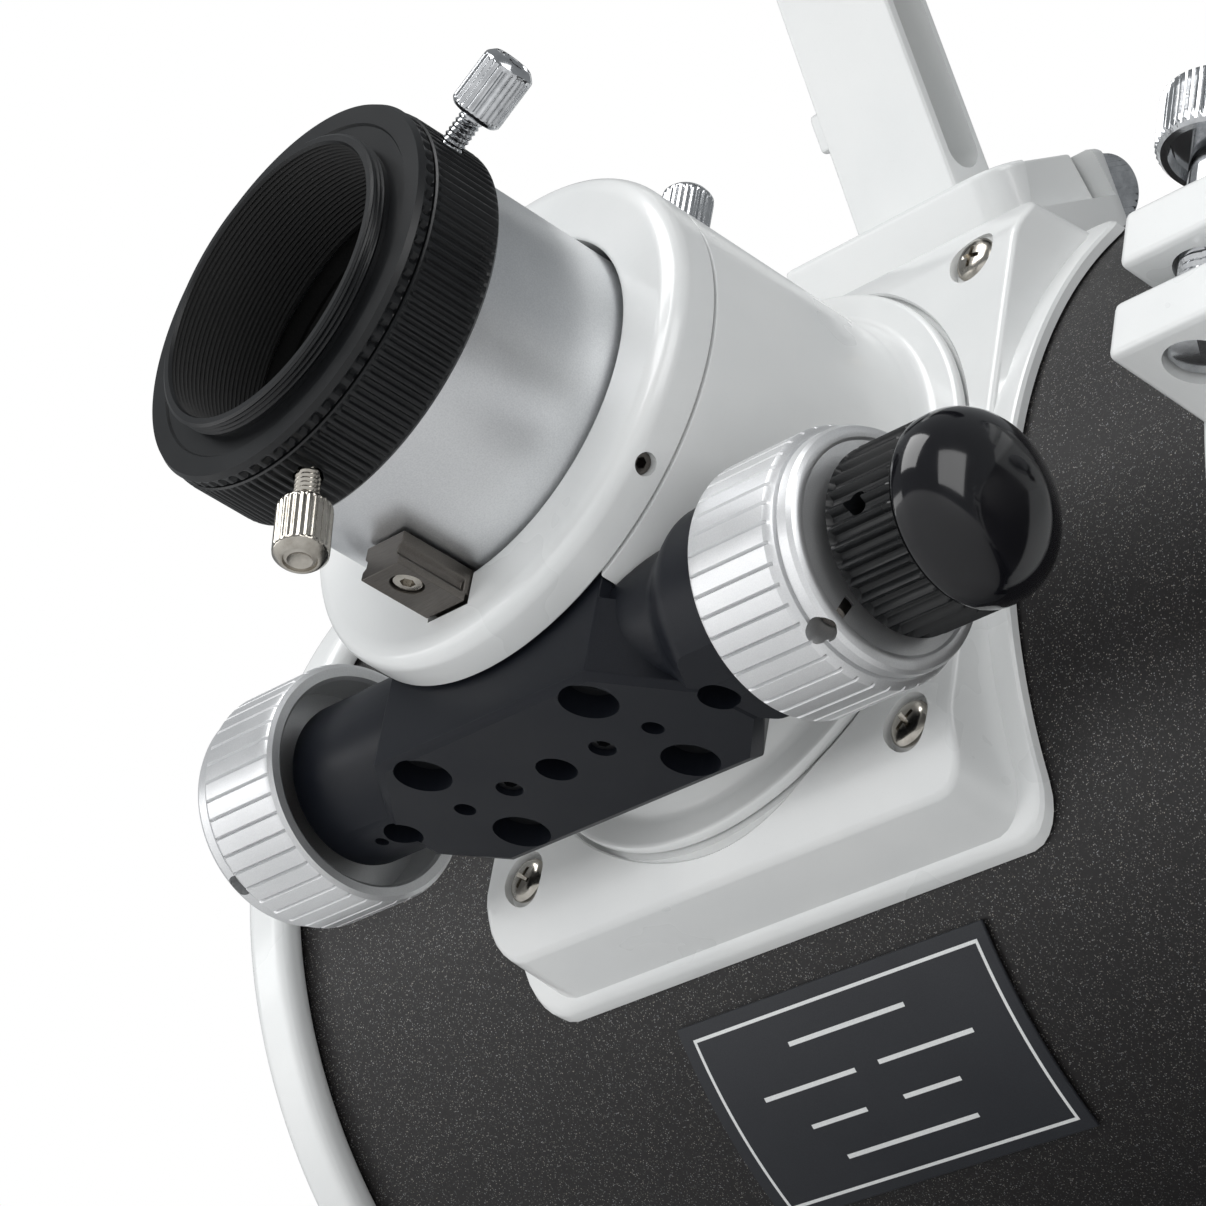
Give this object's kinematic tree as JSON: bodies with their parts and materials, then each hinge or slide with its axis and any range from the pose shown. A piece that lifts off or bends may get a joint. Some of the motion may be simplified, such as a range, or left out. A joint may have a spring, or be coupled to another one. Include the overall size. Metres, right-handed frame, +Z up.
{
  "type": "newtonian reflector telescope",
  "caption": "Short Newtonian reflector tube assembly with a roller focuser, finder on a dovetail shoe, hinged clamp rings and a dovetail bar.",
  "frame": {"origin": "middle of the dovetail bar's foot, under the tube", "axes": "+X along the tube from its open end to the main mirror, +Z up from the foot of the dovetail bar to the tube, focuser towards -Y"},
  "size_m": [0.578, 0.2941, 0.3182],
  "materials": {
    "sparkle_black": "black satin paint with fine silver sparkle",
    "white_cast": "glossy white powder coat on die-cast aluminium",
    "satin_silver": "bead-blasted silver anodised",
    "blue_black": "satin blue-black anodised",
    "satin_black": "satin black anodised",
    "chrome": "bright chromium plate",
    "nickel": "nickel plate",
    "dark_steel": "ground dark steel",
    "mirror_coat": "front-surface aluminised glass",
    "lens_glass": "coated glass",
    "plate_black": "matt black plate with a thin white frame"
  },
  "bodies": {
    "root": {"tube": "sparkle_black", "front_ring": "white_cast", "rear_cell": "white_cast", "spider": "satin_black", "collimation_spring_1": "chrome", "collimation_spring_2": "chrome", "collimation_spring_3": "chrome", "focuser_base": "white_cast", "base_screw_1": "nickel", "base_screw_2": "nickel", "base_screw_3": "nickel", "base_screw_4": "nickel", "focuser_body": "white_cast", "body_ring": "white_cast", "drive_block": "blue_black", "finder_shoe": "white_cast", "front_clamp_lower": "white_cast", "rear_clamp_lower": "white_cast", "front_hinge_pin": "chrome", "rear_hinge_pin": "chrome", "dovetail_bar": "satin_black", "data_plate": "plate_black"},
    "drawtube": {"drawtube": "satin_silver", "drive_rail": "dark_steel", "adapter_ring": "satin_black"},
    "camera_ring": {"thread_ring": "satin_black"},
    "adapter_screw_a": {"adapter_screw_1": "chrome"},
    "adapter_screw_b": {"adapter_screw_2": "chrome"},
    "coarse_drive": {"drive_shaft": "chrome", "coarse_knob_left": "satin_silver", "coarse_knob_right": "satin_silver"},
    "fine_drive": {"fine_knob": "satin_black"},
    "tension": {"tension_screw": "chrome"},
    "shoe_clamp": {"shoe_screw": "chrome"},
    "finder_mount": {"finder_bracket": "white_cast"},
    "finder_scope": {"finder_tube": "satin_black", "finder_objective": "lens_glass"},
    "finder_eye": {"finder_eyepiece": "satin_black"},
    "finder_screw_a": {"finder_screw_1": "chrome"},
    "finder_screw_b": {"finder_screw_2": "chrome"},
    "front_clamp": {"front_clamp_upper": "white_cast"},
    "rear_clamp": {"rear_clamp_upper": "white_cast"},
    "front_clamp_bolt": {"front_clamp_screw": "chrome"},
    "rear_clamp_bolt": {"rear_clamp_screw": "chrome"},
    "mirror_cell": {"mirror_tray": "satin_black", "primary_mirror": "mirror_coat", "mirror_clip_1": "satin_black", "mirror_clip_2": "satin_black", "mirror_clip_3": "satin_black"},
    "secondary": {"secondary_holder": "satin_black", "secondary_mirror": "mirror_coat"},
    "cell_knob_1": {"collimation_knob_1": "satin_black"},
    "cell_lock_1": {"lock_screw_1": "nickel"},
    "flat_screw_1": {"secondary_screw_1": "nickel"},
    "cell_knob_2": {"collimation_knob_2": "satin_black"},
    "cell_lock_2": {"lock_screw_2": "nickel"},
    "flat_screw_2": {"secondary_screw_2": "nickel"},
    "cell_knob_3": {"collimation_knob_3": "satin_black"},
    "cell_lock_3": {"lock_screw_3": "nickel"},
    "flat_screw_3": {"secondary_screw_3": "nickel"}
  },
  "joints": [
    {"name": "focus_travel", "type": "slide", "parent": "root", "child": "drawtube", "axis": [0, -1, 0], "range_m": [-0.02, 0.02]},
    {"name": "coarse_focus", "type": "hinge", "parent": "root", "child": "coarse_drive", "pos_m": [-0.205, -0.1215, 0.0811], "axis": [1, 0, 0], "range_deg": [-460, 460]},
    {"name": "fine_focus", "type": "hinge", "parent": "root", "child": "fine_drive", "pos_m": [-0.125, -0.1215, 0.0811], "axis": [1, 0, 0], "range_deg": [-4600, 4600]},
    {"name": "camera_ring_pull", "type": "slide", "parent": "drawtube", "child": "camera_ring", "axis": [0, -1, 0], "range_m": [0, 0.015]},
    {"name": "adapter_screw_turn_a", "type": "hinge", "parent": "drawtube", "child": "adapter_screw_a", "pos_m": [-0.18125, -0.176, 0.13723], "axis": [0.766, 0, 0.6428], "range_deg": [0, 1080]},
    {"name": "adapter_screw_turn_b", "type": "hinge", "parent": "drawtube", "child": "adapter_screw_b", "pos_m": [-0.19962, -0.176, 0.08677], "axis": [0.1736, 0, -0.9848], "range_deg": [0, 1080]},
    {"name": "tension_turn", "type": "hinge", "parent": "root", "child": "tension", "pos_m": [-0.202, -0.118, 0.1583], "axis": [0, 0, 1], "range_deg": [0, 1080]},
    {"name": "shoe_screw_turn", "type": "hinge", "parent": "root", "child": "shoe_clamp", "pos_m": [-0.191, -0.04986, 0.20856], "axis": [0, 0.7934, 0.6088], "range_deg": [0, 1080]},
    {"name": "finder_release", "type": "slide", "parent": "root", "child": "finder_mount", "axis": [-1, 0, 0], "range_m": [0, 0.07]},
    {"name": "finder_aim", "type": "hinge", "parent": "finder_mount", "child": "finder_scope", "pos_m": [-0.20675, -0.12297, 0.27756], "axis": [0, 0.7934, 0.6088], "range_deg": [-1.5, 1.5]},
    {"name": "finder_focus", "type": "slide", "parent": "finder_scope", "child": "finder_eye", "axis": [1, 0, 0], "range_m": [-0.0035, 0.006]},
    {"name": "finder_screw_turn_a", "type": "hinge", "parent": "finder_mount", "child": "finder_screw_a", "pos_m": [-0.20675, -0.15073, 0.2739], "axis": [0, -0.9914, -0.1305], "range_deg": [-720, 720]},
    {"name": "finder_screw_turn_b", "type": "hinge", "parent": "finder_mount", "child": "finder_screw_b", "pos_m": [-0.20675, -0.11225, 0.30343], "axis": [0, 0.3827, 0.9239], "range_deg": [-720, 720]},
    {"name": "front_clamp_open", "type": "hinge", "parent": "root", "child": "front_clamp", "pos_m": [-0.0975, 0.1015, 0.1173], "axis": [-1, 0, 0], "range_deg": [0, 100]},
    {"name": "front_clamp_bolt_turn", "type": "hinge", "parent": "front_clamp", "child": "front_clamp_bolt", "pos_m": [-0.0975, -0.105, 0.1373], "axis": [0, 0, 1], "range_deg": [0, 1440]},
    {"name": "rear_clamp_open", "type": "hinge", "parent": "root", "child": "rear_clamp", "pos_m": [0.095, 0.1015, 0.1173], "axis": [-1, 0, 0], "range_deg": [0, 100]},
    {"name": "rear_clamp_bolt_turn", "type": "hinge", "parent": "rear_clamp", "child": "rear_clamp_bolt", "pos_m": [0.095, -0.105, 0.1373], "axis": [0, 0, 1], "range_deg": [0, 1440]},
    {"name": "mirror_tilt", "type": "hinge", "parent": "root", "child": "mirror_cell", "pos_m": [0.197, 0, 0.0848], "axis": [0, 1, 0], "range_deg": [-1, 1]},
    {"name": "cell_knob_turn_1", "type": "hinge", "parent": "root", "child": "cell_knob_1", "pos_m": [0.236, 0, 0.1823], "axis": [1, 0, 0], "range_deg": [-800, 800]},
    {"name": "cell_lock_turn_1", "type": "hinge", "parent": "root", "child": "cell_lock_1", "pos_m": [0.236, 0.01792, 0.17978], "axis": [1, 0, 0], "range_deg": [-720, 720]},
    {"name": "flat_screw_turn_1", "type": "hinge", "parent": "root", "child": "flat_screw_1", "pos_m": [-0.305, 0.00672, 0.12402], "axis": [1, 0, 0], "range_deg": [-720, 720]},
    {"name": "cell_knob_turn_2", "type": "hinge", "parent": "root", "child": "cell_knob_2", "pos_m": [0.236, 0.05629, 0.0848], "axis": [1, 0, 0], "range_deg": [-800, 800]},
    {"name": "cell_lock_turn_2", "type": "hinge", "parent": "root", "child": "cell_lock_2", "pos_m": [0.236, 0.04515, 0.07054], "axis": [1, 0, 0], "range_deg": [-720, 720]},
    {"name": "flat_screw_turn_2", "type": "hinge", "parent": "root", "child": "flat_screw_2", "pos_m": [-0.305, 0.00246, 0.10812], "axis": [1, 0, 0], "range_deg": [-720, 720]},
    {"name": "cell_knob_turn_3", "type": "hinge", "parent": "root", "child": "cell_knob_3", "pos_m": [0.236, -0.05629, 0.0848], "axis": [1, 0, 0], "range_deg": [-800, 800]},
    {"name": "cell_lock_turn_3", "type": "hinge", "parent": "root", "child": "cell_lock_3", "pos_m": [0.236, -0.06307, 0.10157], "axis": [1, 0, 0], "range_deg": [-720, 720]},
    {"name": "flat_screw_turn_3", "type": "hinge", "parent": "root", "child": "flat_screw_3", "pos_m": [-0.305, -0.00918, 0.11976], "axis": [1, 0, 0], "range_deg": [-720, 720]},
    {"name": "secondary_turn", "type": "hinge", "parent": "root", "child": "secondary", "pos_m": [-0.257, 0, 0.1173], "axis": [1, 0, 0], "range_deg": [-15, 15]}
  ],
  "couplings": [
    {"joint": "coarse_focus", "follows": "focus_travel", "rad_per_m": 400},
    {"joint": "fine_focus", "follows": "focus_travel", "rad_per_m": 4000},
    {"joint": "cell_knob_turn_1", "follows": "mirror_tilt", "ratio": -765.76}
  ]
}
